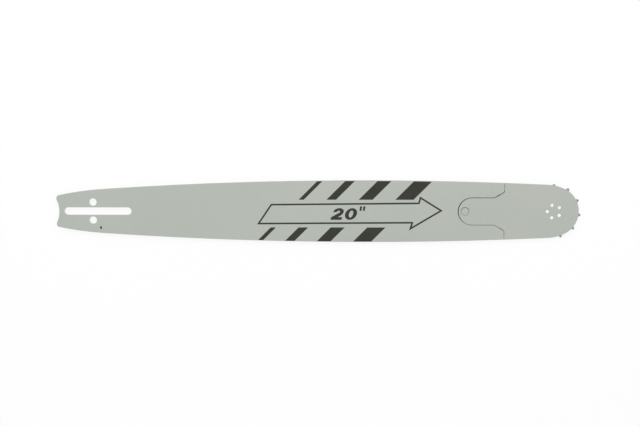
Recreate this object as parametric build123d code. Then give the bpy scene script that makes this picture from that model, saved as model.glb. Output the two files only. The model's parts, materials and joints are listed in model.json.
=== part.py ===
from build123d import *
from math import atan2, copysign, cos, degrees, pi, radians, sin, sqrt, tan
import os

# Guide bar of a chainsaw: a solid steel bar with a riveted sprocket nose, lying on its back face.
# Millimetres and degrees. X runs from the tail to the nose, Y across the bar, Z through its thickness.
# The origin is the middle of the stud slot, on the back face. The bar is the same when turned over about X.

# Bar outline
overall_length = 600.0        # tail corners to the tip of the nose rail
thickness = 4.8               # back face to front face
tail_width = 35.4             # across the tail corners
tail_taper_length = 52.6      # tail corners to the heel, where the long side rails begin
heel_width = 50.4             # across the rails at the heel
tail_corner_radius = 3.4
tail_notch_depth = 3.2        # hollow of the tail end
tail_wall = 5.9               # stud slot to the bottom of the tail notch
belly_setback = 216.0         # belly, where the bar is widest, back from the nose centre
belly_rise = 5.25             # side rails at the belly, out from where they are at the nose centre
nose_step = 1.55              # side rails at the nose centre, out from the round nose rail
shoulder_blend = 17.7         # shoulder radius, over the nose rail's radius

# Chain fit
chain_pitch = 9.525
rail_drop = 4.7               # pitch circle in to the nose rail
groove_width = 1.5
groove_depth = 6.5
rail_chamfer = 0.25

# Holes at the tail
slot_length = 77.0
slot_width = 8.7
pin_hole_diameter = 8.6
pin_hole_setback = 5.7        # back from the slot's middle
pin_hole_wall = 1.7           # steel between the slot and each hole
oil_hole_diameter = 2.1
oil_hole_lead = 3.2           # forward of the slot's middle
oil_hole_inset = 6.1          # rail to the middle of the hole's mouth
oil_hole_slope = 35.0         # between the hole and the face
oil_hole_skew = 15.0          # lean of the hole toward the nose

# Nose plates, the web between them and the seam round them
nose_gap = 1.6                # between the two plates
nose_length = 85.8            # tip of the nose rail back to the seam's step
tongue_length = 53.0          # seam's step back to the tongue's round end
tongue_width = 32.1
flare_length = 11.2           # along the bar, where the tongue widens into the step
flare_angle = 30.0
flare_radius = 4.0
seam_gap = 0.7                # round the tongue and its flare
step_gap = 0.4                # along the seam's step, out to the rails
web_clearance = 1.2           # tooth tips to the web

# Rivets, ground flush with both faces
hub_rivet_count = 5
hub_rivet_circle = 15.2
hub_rivet_diameter = 3.6
nose_rivet_diameter = 9.0
nose_rivet_setback = 8.0      # forward of the tongue's round end
rivet_clearance = 0.02

# Sprocket and its bearing
sprocket_teeth = 11
tooth_tip_drop = 2.0          # pitch circle in to the tooth tips
tooth_root_drop = 10.6        # pitch circle in to the bottom of the gullets
tooth_tip_width = 1.6
tooth_flank_angle = 28.0
tooth_phase = -8.0            # first tooth, from the bar's own direction
side_clearance = 0.15         # sprocket and rollers to each plate
race_rim = 1.5                # hub rivets to the rim of the race
roller_count = 24
roller_sides = 20             # small flats that make up the round of each roller
roller_spacing = 0.03         # between neighbouring rollers
running_clearance = 0.04      # rollers to race and to sprocket


# Places that follow from the sizes above
pitch_radius = sprocket_teeth * chain_pitch / pi
nose_radius = pitch_radius - rail_drop
shoulder_radius = nose_radius + shoulder_blend
half_width = nose_radius + nose_step + belly_rise

tail_x = -(slot_length / 2 + tail_wall + tail_notch_depth)
tip_x = tail_x + overall_length
nose_centre = Vector(tip_x - nose_radius, 0)
seam_x = tip_x - nose_length
tongue_end_x = seam_x - tongue_length
nose_rivet_x = tongue_end_x + nose_rivet_setback

mid_z = thickness / 2
plate_thickness = (thickness - nose_gap) / 2
beyond = overall_length       # long enough for a cut to pass right through
near = 0.01                   # closer than this is the same place


def angle_from(centre, point):
    """Direction of a point seen from a centre, in degrees."""
    return degrees(atan2(point.Y - centre.Y, point.X - centre.X))


def toward(centre, distance, angle):
    """Point at a distance and a direction from a centre."""
    return Vector(centre.X + distance * cos(radians(angle)), centre.Y + distance * sin(radians(angle)))


def arc(centre, radius, start, end):
    """Arc round a centre between two directions."""
    return ThreePointArc(*[toward(centre, radius, a) for a in (start, (start + end) / 2, end)])


# The long side rail: one arc through the heel, the belly and a point beside the nose centre, one nose step
# outside the nose rail. The tail rail: an arc that leaves it smoothly at the heel and ends at the tail
# corner. Its radius is below zero where it has to bend the other way.
heel = Vector(tail_x + tail_taper_length, heel_width / 2)
belly = Vector(nose_centre.X - belly_setback, half_width)
side_rail = ThreePointArc(heel, belly, (nose_centre.X, nose_radius + nose_step))
side_centre = side_rail.arc_center
side_radius = side_rail.radius

tail_corner = Vector(tail_x, tail_width / 2)
heel_normal = (heel - side_centre).normalized()
tail_chord = tail_corner - heel
tail_radius = -tail_chord.dot(tail_chord) / (2 * heel_normal.dot(tail_chord))
tail_centre = heel - heel_normal * tail_radius


def shoulder_centre():
    """Centre of the arc that touches both the side rail and the nose rail from inside."""
    span = nose_centre - side_centre
    from_side = side_radius - shoulder_radius
    from_nose = shoulder_radius - nose_radius
    along = (from_side**2 - from_nose**2 + span.dot(span)) / (2 * span.length)
    across = sqrt(from_side**2 - along**2)
    direction = span.normalized()
    return side_centre + direction * along + Vector(-direction.Y, direction.X) * across


def rail_y(x):
    """Half-width of the bar at a place along it."""
    if x < heel.X:
        return tail_centre.Y + copysign(sqrt(tail_radius**2 - (x - tail_centre.X) ** 2), tail_radius)
    return side_centre.Y + sqrt(side_radius**2 - (x - side_centre.X) ** 2)


def rail_arcs(inset, side_end):
    """Upper tail and side rails, moved inward, with the side rail ending at a direction."""
    heel_angle = angle_from(side_centre, heel)
    corner_normal = (tail_corner - tail_centre) * (1 / tail_radius)
    corner_angle = degrees(atan2(corner_normal.Y, corner_normal.X))
    return [
        arc(tail_centre, tail_radius - inset, corner_angle, heel_angle),
        arc(side_centre, side_radius - inset, heel_angle, side_end),
    ]


def both_sides(edges):
    """Edges above the bar's middle line, with their mirror images below it."""
    return edges + [mirror(edge, about=Plane.XZ) for edge in edges]


def bar_outline():
    """Face of the whole bar as seen from the front, nose plates included."""
    blend = shoulder_centre()
    side_end = angle_from(side_centre, blend)
    nose_end = angle_from(blend, nose_centre)
    edges = both_sides(rail_arcs(0, side_end) + [arc(blend, shoulder_radius, side_end, nose_end)])
    edges.append(arc(nose_centre, nose_radius, nose_end, -nose_end))
    edges.append(Line(tail_corner, (tail_corner.X, -tail_corner.Y)))
    face = make_face(edges)

    corner_land = 1.2 * tail_corner_radius  # flat that the two rounds of a tail corner use up
    notch_half = tail_width / 2 - corner_land
    notch_radius = (notch_half**2 + tail_notch_depth**2) / (2 * tail_notch_depth)
    face -= Pos(tail_x + tail_notch_depth - notch_radius, 0) * Circle(notch_radius)
    return fillet(face.vertices().group_by(Axis.X)[0], tail_corner_radius)


def groove_core():
    """Face of the steel that is left between the two edge grooves, run out past the tail."""
    edges = rail_arcs(groove_depth, angle_from(side_centre, Vector(nose_centre.X, rail_y(nose_centre.X))))
    floor_end = edges[0] @ 0
    run_out = floor_end - (edges[0] % 0) * tail_taper_length
    nose_end = edges[1] @ 1
    edges = both_sides(edges + [Line(run_out, floor_end)])
    edges.append(Line(run_out, (run_out.X, -run_out.Y)))
    edges.append(Line(nose_end, (nose_end.X, -nose_end.Y)))
    return make_face(edges)


def nose_pocket():
    """Face of everything forward of the seam: the tongue, its flare and the nose."""
    half = tongue_width / 2
    round_centre = Vector(tongue_end_x + half, 0)
    flare_start = Vector(seam_x - flare_length, half)
    flare_end = Vector(seam_x, half + flare_length * tan(radians(flare_angle)))
    outer = Vector(seam_x, beyond)
    front = Vector(beyond + tip_x, beyond)
    side = [
        Line(toward(round_centre, half, 90), flare_start),
        Line(flare_start, flare_end),
        Line(flare_end, outer),
        Line(outer, front),
    ]
    edges = both_sides(side) + [arc(round_centre, half, 90, 270), Line(front, (front.X, -front.Y))]
    face = make_face(edges)
    bends = [v for v in face.vertices() if flare_start.X - near < v.X < flare_end.X + near]
    bends = [v for v in bends if abs(v.Y) < flare_end.Y + near]
    return fillet(bends, flare_radius)


def rivet(diameter, place, clearance=0.0):
    """Rivet from face to face. With a clearance it is the hole for it."""
    return extrude(Pos(place) * Circle(diameter / 2 + clearance), thickness)


def nose_rivet(clearance=0.0):
    """Large rivet through the tongue and the web."""
    return rivet(nose_rivet_diameter, Vector(nose_rivet_x, 0), clearance)


def hub_rivets(clearance=0.0):
    """Rivets through the plates and the race, in a ring with one toward the tail."""
    turn = 360 / hub_rivet_count
    places = [toward(nose_centre, hub_rivet_circle / 2, 180 + i * turn) for i in range(hub_rivet_count)]
    return [rivet(hub_rivet_diameter, place, clearance) for place in places]


def turned_over(shape):
    """The same shape on the other face of the bar."""
    return Pos(0, 0, thickness) * Rot(180, 0, 0) * shape


def oil_hole():
    """Slanted drilling from the front face into the lower groove, stopping at the groove's far wall."""
    slope = radians(oil_hole_slope)
    skew = radians(oil_hole_skew)
    mouth = Vector(oil_hole_lead, oil_hole_inset - rail_y(oil_hole_lead), thickness)
    direction = Vector(cos(slope) * sin(skew), -cos(slope) * cos(skew), -sin(slope))
    radius = oil_hole_diameter / 2
    depth = (mid_z + groove_width / 2 - radius * cos(slope)) / sin(slope)
    run_in = 2 * oil_hole_diameter  # starts this far outside, so that the slanted mouth is cut whole
    profile = Plane(mouth - direction * run_in, z_dir=direction) * Circle(radius)
    return extrude(profile, run_in + depth, dir=direction)


def bar_blank():
    """The whole bar before the nose is let in, with the edges of both faces broken all round."""
    blank = extrude(bar_outline(), thickness)
    faces = blank.faces().sort_by(Axis.Z)
    return chamfer(faces[0].edges() + faces[-1].edges(), rail_chamfer)


def bar_body(blank, core, pocket):
    """One steel plate with its edge grooves, its holes and the web that the nose is riveted to."""
    body = blank - extrude(pocket, thickness)

    tip_radius = pitch_radius - tooth_tip_drop
    web = (core & pocket) - Pos(nose_centre) * Circle(tip_radius + web_clearance)
    body += Pos(0, 0, mid_z - nose_gap / 2) * extrude(web, nose_gap)

    grooves = Rectangle(2 * beyond, beyond) - core
    body -= Pos(0, 0, mid_z - groove_width / 2) * extrude(grooves, groove_width)

    body -= extrude(SlotOverall(slot_length, slot_width), thickness)
    pin_y = slot_width / 2 + pin_hole_wall + pin_hole_diameter / 2
    for side in (1, -1):
        body -= extrude(Pos(-pin_hole_setback, side * pin_y) * Circle(pin_hole_diameter / 2), thickness)
    body -= [oil_hole(), turned_over(oil_hole()), nose_rivet(rivet_clearance)]
    return body


def nose_plate(blank, pocket):
    """Front nose plate: tongue and round nose, inside the seam, with its rivet holes."""
    ahead_of_step = pocket & Pos(seam_x + step_gap + beyond, 0) * Rectangle(2 * beyond, 2 * beyond)
    inside_seam = offset(pocket, -seam_gap) + ahead_of_step
    plate = blank & Pos(0, 0, thickness - plate_thickness) * extrude(inside_seam, plate_thickness)
    plate -= hub_rivets(rivet_clearance) + [nose_rivet(rivet_clearance)]
    return plate


# The bearing: a race that the hub rivets pass through, a full ring of rollers, then the sprocket's bore.
# The rollers' diameter is the one at which the whole ring just fits round the race.
race_radius = (hub_rivet_circle + hub_rivet_diameter) / 2 + race_rim
inner_track = race_radius + running_clearance
roller_share = sin(pi / roller_count)
roller_diameter = (2 * inner_track * roller_share - roller_spacing) / (1 - roller_share)
roller_circle = inner_track + roller_diameter / 2
bore_radius = inner_track + roller_diameter + running_clearance
wheel_thickness = nose_gap - 2 * side_clearance


def bearing_race():
    """Disc as thick as the gap between the plates, with a hole for each hub rivet."""
    disc = extrude(Pos(nose_centre) * Circle(race_radius), nose_gap)
    return Pos(0, 0, mid_z - nose_gap / 2) * disc - hub_rivets(rivet_clearance)


def bearing_roller(index):
    """One roller of the ring."""
    place = toward(nose_centre, roller_circle, index * 360 / roller_count)
    profile = RegularPolygon(roller_diameter / 2, roller_sides)
    return Pos(place.X, place.Y, mid_z - wheel_thickness / 2) * extrude(profile, wheel_thickness)


def nose_sprocket():
    """Star wheel: narrow-tipped teeth with straight flanks that run into round gullets."""
    tip_radius = pitch_radius - tooth_tip_drop
    root_radius = pitch_radius - tooth_root_drop
    half_turn = 180 / sprocket_teeth

    # Beside a gullet on the X axis: the next tooth's tip corner, its flank's normal and the round that
    # touches that flank and the root circle.
    tip_angle = half_turn - degrees(tooth_tip_width / 2 / tip_radius)
    corner = toward(Vector(0, 0), tip_radius, tip_angle)
    normal = toward(Vector(0, 0), 1.0, half_turn + tooth_flank_angle - 90)
    gullet_radius = (normal.X * root_radius - normal.dot(corner)) / (1 - normal.X)
    gullet_centre = Vector(root_radius + gullet_radius, 0)
    flank_end = gullet_centre - normal * gullet_radius
    gullet_end = angle_from(gullet_centre, flank_end)

    gullet = [
        Line(corner, flank_end),
        arc(gullet_centre, gullet_radius, gullet_end, 360 - gullet_end),
        Line((flank_end.X, -flank_end.Y), (corner.X, -corner.Y)),
        arc(Vector(0, 0), tip_radius, -tip_angle, tip_angle - 2 * half_turn),
    ]
    turns = [Rot(0, 0, tooth_phase + (2 * i + 1) * half_turn) for i in range(sprocket_teeth)]
    profile = make_face([turn * edge for turn in turns for edge in gullet]) - Circle(bore_radius)
    wheel = extrude(profile, wheel_thickness)
    return Pos(nose_centre.X, nose_centre.Y, mid_z - wheel_thickness / 2) * wheel


blank_plate = bar_blank()
core_face = groove_core()
pocket_face = nose_pocket()

front_plate = nose_plate(blank_plate, pocket_face)
nodes = {
    "bar_body": bar_body(blank_plate, core_face, pocket_face),
    "nose_plate_front": front_plate,
    "nose_plate_back": turned_over(front_plate),
    "nose_sprocket": nose_sprocket(),
    "bearing_race": bearing_race(),
    "nose_rivet": nose_rivet(),
    "hub_rivets": Compound(hub_rivets()),
}
for index in range(roller_count):
    nodes[f"bearing_roller_{index + 1:02d}"] = bearing_roller(index)

os.makedirs("parts", exist_ok=True)
for name, shape in nodes.items():
    export_step(shape, f"parts/{name}.step")
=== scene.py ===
import json
import math
from itertools import product

import bmesh
import bpy
from mathutils import Euler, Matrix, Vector


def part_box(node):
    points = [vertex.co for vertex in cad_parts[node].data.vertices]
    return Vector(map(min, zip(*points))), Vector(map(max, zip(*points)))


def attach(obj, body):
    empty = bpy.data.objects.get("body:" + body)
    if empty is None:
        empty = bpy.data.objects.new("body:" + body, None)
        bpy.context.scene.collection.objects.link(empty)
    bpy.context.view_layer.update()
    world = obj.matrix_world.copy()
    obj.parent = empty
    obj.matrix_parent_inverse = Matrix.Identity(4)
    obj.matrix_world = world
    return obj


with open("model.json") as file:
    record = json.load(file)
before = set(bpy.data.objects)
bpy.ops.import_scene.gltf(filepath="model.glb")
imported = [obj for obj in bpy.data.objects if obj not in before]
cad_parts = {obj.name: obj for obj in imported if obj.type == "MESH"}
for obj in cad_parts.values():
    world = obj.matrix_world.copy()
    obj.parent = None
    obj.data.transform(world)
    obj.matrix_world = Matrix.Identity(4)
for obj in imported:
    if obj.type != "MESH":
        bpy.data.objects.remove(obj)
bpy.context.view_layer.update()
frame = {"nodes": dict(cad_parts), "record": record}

# A chainsaw guide bar that lies on its back face. Its front face, which carries the print, is the top.
# X runs from the tail to the nose, from the middle of the stud slot, and Y across the bar.
# Values are in metres where their heading or comment doesn't say otherwise.
MM = 0.001
scene = bpy.context.scene
scene.view_settings.view_transform = "Standard"

BAR_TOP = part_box("bar_body")[1]
FACE_Z = BAR_TOP.z
HALF_THICKNESS = FACE_Z / 2

# Camera: nearly straight down on the front face, tail to the left
IMAGE_WIDTH = 640                 # pixels
IMAGE_SCALE = 1.149 * MM          # per pixel, at the view's centre
VIEW_CENTRE = Vector((255.04 * MM, -1.92 * MM, FACE_Z))
VIEW_DISTANCE = 1.4
VIEW_TILT = 6.0                   # degrees, toward the upper rail
VIEW_ROLL = 0.055                 # degrees
SENSOR_WIDTH = 36.0               # millimetres

# Light: white surroundings, and two large soft lamps on the upper rail's side
WORLD_LIGHT = 0.7                 # strength of the surroundings as light on the bar
WORLD_SEEN = 1.0                  # strength where they are seen, straight or in a gloss
LAMPS = {                         # place and watts
    "key": ((-0.35, 0.9, 0.95), 6.8),
    "fill": ((0.85, 0.9, 0.95), 5.8),
}
LAMP_SIZE = 1.2
LAMP_TARGET = (0.25, 0, 0)

# Floor
FLOOR_HALF = 6.0
FLOOR_DROP = 0.05 * MM            # under the back face, so that the layers on it clear the floor
FLOOR_WHITE = 0.87                # share that is plain white where it is seen. The rest takes the shadow.

# Thin layers on the faces: ink, rings round the rivets, and oil beside the seam. Crease rings and oil carry
# painted shade.
LAYER_RISE = 0.02 * MM            # out of the face
LAYER_ROOT = 0.01 * MM            # into the face
FRONT = (FACE_Z - LAYER_ROOT, FACE_Z + LAYER_RISE)
BACK = (-LAYER_RISE, LAYER_ROOT)

# Print, in millimetres
ARROW_LINE = 1.9
ARROW_CORNERS = [
    (184.4, -14.2), (361.2, -13.1), (359.0, -20.0), (394.2, 0.85),
    (370.3, 15.7), (368.6, 9.3), (199.1, 7.65),
]
STRIPES_START = 217.0             # where the first stripe's left edge would cross the middle line
STRIPE_WIDTHS = (6.0, 11.0, 16.0, 21.0)
STRIPE_SPACE = 26.0
UPPER_STRIPE_FOOT = 13.4          # from the middle line to the stripes' inner ends
LOWER_STRIPE_FOOT = 18.6
STRIPE_INSET = 0.45               # stripes to the rail
HALF_WIDTH = BAR_TOP.y / MM       # of the bar, at its belly
SIDE_RAIL_BELLY = 307.3           # where the bar is widest
SIDE_RAIL_RADIUS = 4463.0
NUMBER_LEFT = 267.0
NUMBER_BASE = -9.8
NUMBER_SLANT = 0.25               # sideways per millimetre of height
ZERO_SHIFT = 15.2                 # from the start of the number to its second figure
INCH_SHIFT = 30.2                 # and to its inch sign

# Rivets: a land ground bare round each hub rivet, and painted shade in the creases of the paint round the
# rivets
HUB_RIVETS = 5
HUB_CIRCLE = 15.2 * MM            # diameter through the hub rivets' centres
HUB_RIVET = 3.6 * MM              # diameter of one
HUB_LAND = 0.28 * MM
HUB_CREASE = 0.24 * MM
NOSE_RIVET_CREASE = 0.52 * MM
NOSE_CREASE_LEAN = 0.23 * MM      # of its outer edge to the upper rail, so that the painted crease shade is wider on that side
HUB_RING_STEPS = 40
NOSE_RING_STEPS = 72

# Seam round the nose plates' tongue, and oil that has crept out of it, with painted shade
TONGUE_RADIUS = 15.35 * MM        # of the tongue's round end
SEAM_GAP = 0.7 * MM
SEAM_EDGE = TONGUE_RADIUS + SEAM_GAP
FLARE_RUN = [(464.6 * MM, 21.36 * MM), (456.33 * MM, 16.59 * MM)]  # seam's slanted run above the tongue
END_OIL_SHADE_ARC = (112, 220)          # degrees, round the tongue's end
END_OIL_SHADE_REACH = 0.31 * MM         # most that the oil and its painted shade have crept there
FLARE_OIL_SHADE_REACH = 0.22 * MM       # and along the slanted run
OIL_SHADE_LAP = 0.05 * MM               # of the oil and painted shade over the seam
OIL_SHADE_STEPS = 48

# Painted light on the seam's lower side, at the tongue's lower edge and at the bend below it, where less of
# its dark
# shows: level across the bar, how far from there the lightening begins to fade, and where it ends
SEAM_LIGHT_LEVELS = [(-SEAM_EDGE, 2 * MM, 5 * MM), (-22.8 * MM, 0.9 * MM, 1.9 * MM)]
SEAM_LIGHT_SHARE = 0.42                # share of the oil, dirt and painted shade that still shows there

# Areas of the bar: lowest and highest place along it, then lowest and highest distance from its middle line
SEAM_AREA = (411 * MM, 468.5 * MM, -1 * MM, 31.8 * MM)
OIL_HOLE_AREA = (-0.5 * MM, 10 * MM, 12 * MM, 24.5 * MM)
TAIL_HOLES_AREA = (-40 * MM, 40 * MM, -1 * MM, 15.5 * MM)
GROOVE_TOP = 0.775 * MM           # from the middle of the thickness to just above the chain groove
OUTER_FACE = 0.9 * HALF_THICKNESS  # from the middle of the thickness, where an outer face begins
FACING_PAINT = (0.45, 0.65)       # how squarely a surface looks up or down, from bare to painted


# Shapes

def band(bm, first, second):
    """Faces between two loops with as many points each."""
    for i in range(len(first)):
        j = (i + 1) % len(first)
        bm.faces.new((first[i], first[j], second[j], second[i]))


def prism_mesh(name, shapes, levels):
    """Closed prisms between each pair of heights. A shape is one loop, or an outer and an inner loop."""
    bm = bmesh.new()
    for loops, heights in product(shapes, levels):
        rims = []
        for loop in loops:
            bottom, top = [[bm.verts.new((x, y, z)) for x, y in loop] for z in heights]
            band(bm, bottom, top)
            rims.append((bottom, top))
        if len(rims) == 1:
            for rim in rims[0]:
                bm.faces.new(rim)
        else:
            for outer, inner in zip(*rims):
                band(bm, outer, inner)
    bmesh.ops.recalc_face_normals(bm, faces=bm.faces)
    mesh = bpy.data.meshes.new(name)
    bm.to_mesh(mesh)
    bm.free()
    return mesh


def add_layer(name, shapes, levels, material):
    """Thin shapes of one material on the bar's faces, as a piece that rides on the bar."""
    piece = bpy.data.objects.new(name, prism_mesh(name, shapes, levels))
    scene.collection.objects.link(piece)
    piece.data.materials.append(material)
    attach(piece, "bar")


def offset_loop(points, distance):
    """A loop moved sideways by a distance, with mitred corners."""
    moved = []
    for i, point in enumerate(points):
        here = Vector(point)
        before = (here - Vector(points[i - 1])).normalized()
        after = (Vector(points[(i + 1) % len(points)]) - here).normalized()
        mitre = Vector((before.y + after.y, -before.x - after.x))
        mitre *= distance / (1 + before.dot(after))
        moved.append(tuple(here + mitre))
    return moved


def ellipse(centre, half_width, half_height, start, end, steps):
    """Points along an ellipse between two directions in degrees."""
    points = []
    for i in range(steps + 1):
        angle = math.radians(start + (end - start) * i / steps)
        points.append((centre[0] + half_width * math.cos(angle), centre[1] + half_height * math.sin(angle)))
    return points


def closed_ellipse(centre, half_width, half_height, steps):
    """Points all round an ellipse."""
    return ellipse(centre, half_width, half_height, 0, 360, steps)[:-1]


def ring(centre, inner, width, steps, lean=0):
    """Outer and inner loop of a flat ring, whose outer edge may lean to the upper rail."""
    outer = inner + width
    outer_centre = (centre[0], centre[1] + lean)
    return [closed_ellipse(outer_centre, outer, outer, steps), closed_ellipse(centre, inner, inner, steps)]


def creep(path, reach):
    """Loop of a film on the right of a path, widest midway, that laps over the path a little."""
    steps = len(path) - 1
    outer = []
    inner = []
    for i, point in enumerate(path):
        along = (Vector(path[min(i + 1, steps)]) - Vector(path[max(i - 1, 0)])).normalized()
        right = Vector((along.y, -along.x))
        outer.append(tuple(Vector(point) + right * reach * math.sin(math.pi * i / steps)))
        inner.append(tuple(Vector(point) - right * OIL_SHADE_LAP))
    return [outer + inner[::-1]]


# Nodes of the materials

def new_material(name):
    """A material with its node tree and its shader."""
    material = bpy.data.materials.new(name)
    material.use_nodes = True
    tree = material.node_tree
    return material, tree, tree.nodes["Principled BSDF"]


def node(tree, kind, **values):
    """A new node with some of its properties set."""
    made = tree.nodes.new(kind)
    for name, value in values.items():
        setattr(made, name, value)
    return made


def object_place(tree):
    """Place of a point in the object, in metres."""
    return node(tree, "ShaderNodeTexCoord").outputs["Object"]


def noise(tree, place, scale, detail=2.0, stretch=(1, 1, 1), shift=(0, 0, 0)):
    """Noise with about so many grains per metre, finer along the axes with more stretch."""
    mapping = node(tree, "ShaderNodeMapping")
    mapping.inputs["Scale"].default_value = stretch
    mapping.inputs["Location"].default_value = shift
    tree.links.new(place, mapping.inputs["Vector"])
    texture = node(tree, "ShaderNodeTexNoise")
    texture.inputs["Scale"].default_value = scale
    texture.inputs["Detail"].default_value = detail
    tree.links.new(mapping.outputs["Vector"], texture.inputs["Vector"])
    return texture.outputs["Fac"]


def remap(tree, value, source, target):
    """A value taken from one range, low to high, to another."""
    made = node(tree, "ShaderNodeMapRange")
    for name, number in zip(("From Min", "From Max", "To Min", "To Max"), (*source, *target)):
        made.inputs[name].default_value = number
    tree.links.new(value, made.inputs["Value"])
    return made.outputs["Result"]


def ramp(tree, value, stops):
    """Colours along a value, each stop a place and a linear colour."""
    made = node(tree, "ShaderNodeValToRGB")
    elements = made.color_ramp.elements
    while len(elements) < len(stops):
        elements.new(0.5)
    for element, (place, colour) in zip(elements, stops):
        element.position = place
        element.color = (*colour, 1)
    tree.links.new(value, made.inputs["Fac"])
    return made.outputs["Color"]


def blend(tree, factor, a, b, kind="RGBA"):
    """From a to b as the factor goes from 0 to 1. They are colours, or numbers where the kind is FLOAT."""
    made = node(tree, "ShaderNodeMix", data_type=kind)
    for name, value in (("Factor", factor), ("A", a), ("B", b)):
        tree.links.new(value, made.inputs[name])
    return made.outputs["Result"]


def bump(tree, height, distance, strength):
    """Normal of a surface that rises and falls with a height."""
    made = node(tree, "ShaderNodeBump")
    made.inputs["Distance"].default_value = distance
    made.inputs["Strength"].default_value = strength
    tree.links.new(height, made.inputs["Height"])
    return made.outputs["Normal"]


def calculate(tree, operation, a, b=None):
    """One sum on values, each a socket or a number."""
    made = node(tree, "ShaderNodeMath", operation=operation)
    for value, socket in zip((a, b), made.inputs):
        if isinstance(value, (int, float)):
            socket.default_value = value
        elif value is not None:
            tree.links.new(value, socket)
    return made.outputs["Value"]


def parts_of(tree, vector):
    """The three parts of a vector."""
    split = node(tree, "ShaderNodeSeparateXYZ")
    tree.links.new(vector, split.inputs["Vector"])
    return split.outputs["X"], split.outputs["Y"], split.outputs["Z"]


def inside(tree, value, low, high):
    """1 where a value lies between two limits."""
    return calculate(tree, "MULTIPLY", calculate(tree, "GREATER_THAN", value, low),
                     calculate(tree, "LESS_THAN", value, high))


def within(tree, x, across, area):
    """1 inside an area of the bar, on both sides of its middle line."""
    along_low, along_high, across_low, across_high = area
    return calculate(tree, "MULTIPLY", inside(tree, x, along_low, along_high),
                     inside(tree, across, across_low, across_high))


def srgb(r, g, b):
    """Linear colour of an 8-bit screen colour."""
    def linear(c):
        c /= 255
        return c / 12.92 if c <= 0.04045 else ((c + 0.055) / 1.055) ** 2.4
    return tuple(linear(c) for c in (r, g, b))


def shade(colour, factor):
    """A colour made darker or lighter."""
    return tuple(c * factor for c in colour)


# Materials

PAINT = srgb(175, 180, 172)
WARM_PAINT = srgb(177, 180, 172)
# Painted shade in the creases of the paint round the rivets, deeper and lighter
CREASE_SHADE_DEEP = srgb(72, 75, 70)
CREASE_SHADE_SHALLOW = srgb(102, 106, 99)
INK = srgb(49, 49, 44)

# Where the paint's broad noise is read, and how two noises are drawn out: streaks in the paint along the
# bar, and grinding marks round the rails
DRIFT_SHIFT = (0.74, 0.42, 0.26)
ALONG_BAR = (0.6, 30, 1)
ROUND_RAILS = (0.5, 0.5, 90)

NOISE_BODY = (0.2, 0.8)           # where nearly all values of a noise lie


def surface_masks(tree, coordinates):
    """Masks of the bar's surface: painted, dark with oil, dirt and painted shade, and with painted light
    round the tail's holes.
    """
    x, y, z = parts_of(tree, coordinates.outputs["Object"])
    across = calculate(tree, "ABSOLUTE", y)
    outward = calculate(tree, "ABSOLUTE", calculate(tree, "SUBTRACT", z, HALF_THICKNESS))

    # Paint is where the surface looks up or down and lies on one of the two outer faces.
    facing = calculate(tree, "ABSOLUTE", parts_of(tree, coordinates.outputs["Normal"])[2])
    painted = calculate(tree, "MULTIPLY", remap(tree, facing, FACING_PAINT, (0, 1)),
                        calculate(tree, "GREATER_THAN", outward, OUTER_FACE))

    # Oil, dirt and painted shade darken the oil holes and the seam round the nose plates, above the
    # grooves. Less of it shows on the seam's lower side, which takes more light.
    seam = within(tree, x, across, SEAM_AREA)
    for level, full, none in SEAM_LIGHT_LEVELS:
        away = calculate(tree, "ABSOLUTE", calculate(tree, "SUBTRACT", y, level))
        seam = calculate(tree, "MULTIPLY", seam, remap(tree, away, (full, none), (SEAM_LIGHT_SHARE, 1)))
    drilling = within(tree, x, across, OIL_HOLE_AREA)
    above_groove = calculate(tree, "GREATER_THAN", outward, GROOVE_TOP)
    dirt_and_shade = calculate(tree, "MULTIPLY", calculate(tree, "MAXIMUM", seam, drilling), above_groove)
    # Painted light on the bare steel round the tail's slot and holes
    hole_wall_light = within(tree, x, across, TAIL_HOLES_AREA)
    return painted, dirt_and_shade, hole_wall_light


def coat_colour(tree, place, peel, fine):
    """Grey coat: broad drift of tone, faint streaks along the bar, painted shade in the peel's dimples and
    light on its rises.
    """
    drift = noise(tree, place, scale=7, detail=3, shift=DRIFT_SHIFT)
    coat = ramp(tree, drift, [(0.34, shade(PAINT, 0.95)), (0.5, PAINT), (0.66, shade(WARM_PAINT, 1.035))])
    streaks = noise(tree, place, scale=14, detail=3, stretch=ALONG_BAR)
    streak_tone = ramp(tree, streaks, [(0, shade(PAINT, 0.97)), (1, shade(PAINT, 0.985))])
    coat = blend(tree, remap(tree, streaks, (0.4, 0.75), (0, 0.5)), coat, streak_tone)
    # Painted shade in the peel's dimples and painted light on its rises
    dimple_shade_and_light = ramp(tree, peel, [(0.35, shade(PAINT, 0.94)), (0.65, shade(PAINT, 1.05))])
    return blend(tree, remap(tree, fine, NOISE_BODY, (0.25, 0.45)), coat, dimple_shade_and_light)


def bare_colour(tree, place, grind, dirt_and_shade, hole_wall_light):
    """Ground steel on the rails, with painted light round the tail's holes, and dark with oil, dirt and
    painted shade.
    """
    rail_stops = [(0.3, (0.42, 0.42, 0.415)), (0.55, (0.55, 0.55, 0.545)), (0.8, (0.64, 0.64, 0.63))]
    # Painted light on the bare steel round the tail's holes
    hole_wall_light_stops = [(0.3, (0.7, 0.7, 0.69)), (0.6, (0.8, 0.8, 0.79)), (0.8, (0.86, 0.86, 0.85))]
    # Oil, dirt and painted shade in the oil holes and the seam
    grime_and_shade_stops = [(0.3, (0.025, 0.025, 0.024)), (0.7, (0.05, 0.05, 0.047))]
    steel = blend(tree, hole_wall_light, ramp(tree, grind, rail_stops), ramp(tree, grind, hole_wall_light_stops))
    grime_and_shade = ramp(tree, noise(tree, place, scale=600, detail=3), grime_and_shade_stops)
    return blend(tree, dirt_and_shade, steel, grime_and_shade)


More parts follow.
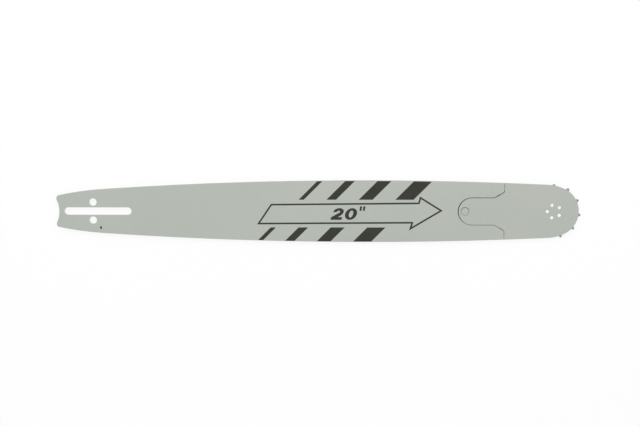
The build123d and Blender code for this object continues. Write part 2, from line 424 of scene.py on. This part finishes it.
def paint_material():
    """Grey satin powder coat on the outer faces, and ground steel on the rails and inside the joints."""
    material, tree, shader = new_material("bar_paint")
    coordinates = node(tree, "ShaderNodeTexCoord")
    place = coordinates.outputs["Object"]
    painted, dirt_and_shade, hole_wall_light = surface_masks(tree, coordinates)

    peel = noise(tree, place, scale=700, detail=2)
    fine = noise(tree, place, scale=2600, detail=1)
    grind = noise(tree, place, scale=30, detail=4, stretch=ROUND_RAILS)
    coat = coat_colour(tree, place, peel, fine)
    bare = bare_colour(tree, place, grind, dirt_and_shade, hole_wall_light)
    tree.links.new(blend(tree, painted, bare, coat), shader.inputs["Base Color"])
    tree.links.new(calculate(tree, "SUBTRACT", 1.0, painted), shader.inputs["Metallic"])

    rough_coat = remap(tree, fine, NOISE_BODY, (0.42, 0.52))
    rough_steel = remap(tree, grind, NOISE_BODY, (0.28, 0.44))
    tree.links.new(blend(tree, painted, rough_steel, rough_coat, "FLOAT"), shader.inputs["Roughness"])
    tree.links.new(bump(tree, peel, distance=0.03 * MM, strength=0.25), shader.inputs["Normal"])
    return material


def steel_material(name, dark, light, rough, grain, stretch):
    """Bare steel with fine marks along one direction and cloudy patches."""
    material, tree, shader = new_material(name)
    place = object_place(tree)
    marks = noise(tree, place, scale=grain, detail=4, stretch=stretch)
    clouds = noise(tree, place, scale=grain / 4, detail=2)
    tone = ramp(tree, marks, [(0.36, dark), (0.58, light)])
    cloud_tone = ramp(tree, clouds, [(0.3, shade(dark, 1.1)), (0.6, light)])
    share = remap(tree, clouds, (0.3, 0.7), (0.2, 0.5))
    tree.links.new(blend(tree, share, tone, cloud_tone), shader.inputs["Base Color"])
    shader.inputs["Metallic"].default_value = 1.0
    roughness = remap(tree, marks, NOISE_BODY, (rough - 0.06, rough + 0.08))
    tree.links.new(roughness, shader.inputs["Roughness"])
    tree.links.new(bump(tree, marks, distance=0.01 * MM, strength=0.3), shader.inputs["Normal"])
    return material


def ink_material():
    """Dark screen-printed ink with faint pinholes."""
    material, tree, shader = new_material("print_ink")
    place = object_place(tree)
    cover = noise(tree, place, scale=60, detail=4)
    tone = ramp(tree, cover, [(0.3, shade(INK, 0.9)), (0.7, shade(INK, 1.12))])
    speck = noise(tree, place, scale=1500, detail=2)
    pale = ramp(tree, speck, [(0, shade(INK, 1.3)), (1, shade(INK, 1.9))])
    pinholes = remap(tree, speck, (0.68, 0.8), (0, 0.6))
    tree.links.new(blend(tree, pinholes, tone, pale), shader.inputs["Base Color"])
    tree.links.new(remap(tree, speck, NOISE_BODY, (0.45, 0.6)), shader.inputs["Roughness"])
    tree.links.new(bump(tree, speck, distance=0.01 * MM, strength=0.2), shader.inputs["Normal"])
    shader.inputs["Specular IOR Level"].default_value = 0.25
    return material


def crease_shade_material():
    """Painted shade in a crease of the paint round a rivet, deeper and lighter at random."""
    material, tree, shader = new_material("painted_crease_shade")
    depth = noise(tree, object_place(tree), scale=400, detail=2)
    tone = ramp(tree, depth, [(0.3, CREASE_SHADE_DEEP), (0.7, CREASE_SHADE_SHALLOW)])
    tree.links.new(tone, shader.inputs["Base Color"])
    tree.links.new(remap(tree, depth, NOISE_BODY, (0.5, 0.65)), shader.inputs["Roughness"])
    return material


def oil_and_shade_material():
    """Dark film of oil and dust, with painted shade beside the seam."""
    material, tree, shader = new_material("oil_and_shade_film")
    dust = noise(tree, object_place(tree), scale=500, detail=3)
    tone = ramp(tree, dust, [(0.3, (0.012, 0.012, 0.011)), (0.7, (0.03, 0.03, 0.028))])
    tree.links.new(tone, shader.inputs["Base Color"])
    tree.links.new(remap(tree, dust, NOISE_BODY, (0.35, 0.5)), shader.inputs["Roughness"])
    shader.inputs["Specular IOR Level"].default_value = 0.25
    return material


bar_paint = paint_material()
rivet_steel = steel_material("rivet_steel", dark=(0.72, 0.72, 0.7), light=(0.99, 0.99, 0.96),
                             rough=0.3, grain=450, stretch=(0.5, 7, 1))
sprocket_steel = steel_material("sprocket_steel", dark=(0.24, 0.24, 0.235), light=(0.36, 0.36, 0.35),
                                rough=0.36, grain=500, stretch=(1, 6, 1))
bearing_steel = steel_material("bearing_steel", dark=(0.5, 0.5, 0.5), light=(0.66, 0.66, 0.66),
                               rough=0.22, grain=900, stretch=(1, 1, 8))
print_ink = ink_material()
painted_crease_shade = crease_shade_material()
oil_and_shade_film = oil_and_shade_material()

finishes = {"bar_paint": bar_paint, "rivet_steel": rivet_steel,
            "sprocket_steel": sprocket_steel, "bearing_steel": bearing_steel}
for subpart in frame["record"]["subparts"]:
    part = frame["nodes"][subpart["node"]]
    part.data.materials.clear()
    part.data.materials.append(finishes[subpart["material_slot"]])


# Print

def in_metres(points):
    """Points in millimetres, in metres."""
    return [(x * MM, y * MM) for x, y in points]


def rail_y(x):
    """Half-width of the bar at a place beside the print, in millimetres."""
    return HALF_WIDTH - (x - SIDE_RAIL_BELLY) ** 2 / (2 * SIDE_RAIL_RADIUS)


def arrow_shape():
    """Outlined arrow that points to the nose, with a slanted tail."""
    return [in_metres(offset_loop(ARROW_CORNERS, side * ARROW_LINE / 2)) for side in (1, -1)]


def stripe(side, foot, crossing, width):
    """Part of a stripe at 45 degrees on one side of the bar, from its foot out to the rail.

    Crossing is where its left edge would cross the middle line.
    """
    corners = []
    for x in (crossing, crossing + width):
        outer = rail_y(x + side * HALF_WIDTH) - STRIPE_INSET
        corners.append([(x + side * outer, side * outer), (x + side * foot, side * foot)])
    (left_out, left_in), (right_out, right_in) = corners
    return [in_metres([left_out, right_out, right_in, left_in])]


def stripe_shapes():
    """Evenly spaced stripes that run on behind the arrow, each wider than the one before."""
    shapes = []
    crossing = STRIPES_START
    for width in STRIPE_WIDTHS:
        shapes.append(stripe(1, UPPER_STRIPE_FOOT, crossing, width))
        shapes.append(stripe(-1, LOWER_STRIPE_FOOT, crossing, width))
        crossing += width + STRIPE_SPACE
    return shapes


def number_shapes():
    """20 and the inch sign in bold figures, drawn upright in millimetres and then slanted."""
    def placed(points, shift):
        return in_metres([(NUMBER_LEFT + shift + x + NUMBER_SLANT * y, NUMBER_BASE + y) for x, y in points])

    two = [(0.0, 0), (12.8, 0), (12.8, 3.1), (7.6, 3.1), (10.8, 5.2)]
    two += ellipse((7.1, 9.2), 5.9, 4.3, start=-26, end=186, steps=24)
    two += ellipse((7.0, 9.1), 1.9, 1.5, start=186, end=-25, steps=12)
    two += [(5.4, 6.5), (0.0, 2.9)]
    zero_centre = (6.8, 6.75)
    zero_outer = closed_ellipse(zero_centre, 6.8, 6.75, steps=40)
    zero_inner = closed_ellipse(zero_centre, 2.4, 4.1, steps=40)
    ticks = [[(x + 0.6, 10.4), (x + 2.7, 10.4), (x + 2.5, 15.6), (x - 0.1, 15.6)] for x in (0, 3.8)]

    shapes = [[placed(two, 0)], [placed(loop, ZERO_SHIFT) for loop in (zero_outer, zero_inner)]]
    return shapes + [[placed(tick, INCH_SHIFT)] for tick in ticks]


add_layer("print_arrow", [arrow_shape()], [FRONT], print_ink)
add_layer("print_stripes", stripe_shapes(), [FRONT], print_ink)
add_layer("print_size_number", number_shapes(), [FRONT], print_ink)


# Rings round the rivets, on both faces: bare lands, and painted shade in the creases

def middle(name):
    """Middle of a node's box."""
    low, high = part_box(name)
    return (low + high) / 2


nose_rivet_low, nose_rivet_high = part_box("nose_rivet")
nose_crease_inner = (nose_rivet_high.x - nose_rivet_low.x - NOSE_RIVET_CREASE) / 2
nose_crease = ring(middle("nose_rivet"), nose_crease_inner, NOSE_RIVET_CREASE, NOSE_RING_STEPS,
                   lean=NOSE_CREASE_LEAN)
add_layer("nose_rivet_crease_shade", [nose_crease], [FRONT, BACK], painted_crease_shade)

hub_radius = HUB_CIRCLE / 2
hub_circle = ellipse(middle("bearing_race"), hub_radius, hub_radius, start=180, end=540, steps=HUB_RIVETS)
hub_centres = hub_circle[:-1]
crease_inner = HUB_RIVET / 2 + HUB_LAND
lands = [ring(centre, HUB_RIVET / 2, HUB_LAND, HUB_RING_STEPS) for centre in hub_centres]
creases = [ring(centre, crease_inner, HUB_CREASE, HUB_RING_STEPS) for centre in hub_centres]
add_layer("hub_rivet_lands", lands, [FRONT, BACK], rivet_steel)
add_layer("hub_rivet_crease_shades", creases, [FRONT, BACK], painted_crease_shade)

# Oil with painted shade beside the seam, on both faces
tongue_centre = (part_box("nose_plate_front")[0].x + TONGUE_RADIUS, 0)
end_path = ellipse(tongue_centre, SEAM_EDGE, SEAM_EDGE, *END_OIL_SHADE_ARC, OIL_SHADE_STEPS)
flare_start, flare_end = [Vector(point) for point in FLARE_RUN]
flare_path = [flare_start.lerp(flare_end, i / OIL_SHADE_STEPS) for i in range(OIL_SHADE_STEPS + 1)]
oil_and_shade_shapes = [creep(end_path, END_OIL_SHADE_REACH), creep(flare_path, FLARE_OIL_SHADE_REACH)]
add_layer("seam_oil_and_shade", oil_and_shade_shapes, [FRONT, BACK], oil_and_shade_film)


# Floor, light and camera

def world_rays(tree):
    """1 for the rays that show the white surroundings: seen straight, in a gloss or through glass."""
    path = node(tree, "ShaderNodeLightPath")
    total = path.outputs["Is Camera Ray"]
    for name in ("Is Glossy Ray", "Is Transmission Ray"):
        total = calculate(tree, "MAXIMUM", total, path.outputs[name])
    return total


def floor_material():
    """White floor: mostly plain white where it is seen, and the rest takes the light and the shadow."""
    material, tree, shader = new_material("floor_white")
    tone_stops = [(0.3, (0.93, 0.93, 0.93)), (0.7, (0.95, 0.95, 0.95))]
    tone = ramp(tree, noise(tree, object_place(tree), scale=3, detail=2), tone_stops)
    tree.links.new(tone, shader.inputs["Base Color"])
    shader.inputs["Roughness"].default_value = 0.9
    shader.inputs["Specular IOR Level"].default_value = 0.0
    white = node(tree, "ShaderNodeEmission")
    mix = node(tree, "ShaderNodeMixShader")
    tree.links.new(remap(tree, world_rays(tree), (0, 1), (0, FLOOR_WHITE)), mix.inputs["Fac"])
    tree.links.new(shader.outputs["BSDF"], mix.inputs[1])
    tree.links.new(white.outputs["Emission"], mix.inputs[2])
    tree.links.new(mix.outputs["Shader"], tree.nodes["Material Output"].inputs["Surface"])
    return material


def make_floor():
    """One large flat floor under the bar."""
    half = FLOOR_HALF
    corners = [(-half, -half, 0), (half, -half, 0), (half, half, 0), (-half, half, 0)]
    mesh = bpy.data.meshes.new("floor")
    mesh.from_pydata(corners, [], [(0, 1, 2, 3)])
    floor = bpy.data.objects.new("floor", mesh)
    floor.location = (0, 0, -FLOOR_DROP)
    floor.data.materials.append(floor_material())
    scene.collection.objects.link(floor)


def make_world():
    """White surroundings, a little brighter where they are seen than as light."""
    world = bpy.data.worlds.new("studio")
    scene.world = world
    world.use_nodes = True
    tree = world.node_tree
    background = tree.nodes["Background"]
    background.inputs["Color"].default_value = (1, 1, 1, 1)
    strength = remap(tree, world_rays(tree), (0, 1), (WORLD_LIGHT, WORLD_SEEN))
    tree.links.new(strength, background.inputs["Strength"])


def make_lamp(name, place, power):
    """A round soft lamp that looks at the middle of the bar."""
    lamp = bpy.data.lights.new(name, "AREA")
    lamp.shape = "DISK"
    lamp.size = LAMP_SIZE
    lamp.energy = power
    holder = bpy.data.objects.new(name, lamp)
    holder.location = place
    holder.rotation_euler = (Vector(LAMP_TARGET) - Vector(place)).to_track_quat("-Z", "Y").to_euler()
    holder.visible_glossy = False  # metal mirrors the white surroundings, not the lamps
    scene.collection.objects.link(holder)


def make_camera():
    """Camera above the bar, tilted and rolled a little about the view's centre."""
    camera = bpy.data.cameras.new("camera")
    camera.sensor_width = SENSOR_WIDTH
    camera.lens = SENSOR_WIDTH * VIEW_DISTANCE / (IMAGE_WIDTH * IMAGE_SCALE)
    holder = bpy.data.objects.new("camera", camera)
    turn = Euler((math.radians(-VIEW_TILT), 0, math.radians(VIEW_ROLL)))
    holder.location = VIEW_CENTRE + turn.to_matrix() @ Vector((0, 0, VIEW_DISTANCE))
    holder.rotation_euler = turn
    scene.collection.objects.link(holder)
    scene.camera = holder


make_floor()
make_world()
for lamp_name, (lamp_place, lamp_power) in LAMPS.items():
    make_lamp(lamp_name, lamp_place, lamp_power)
make_camera()
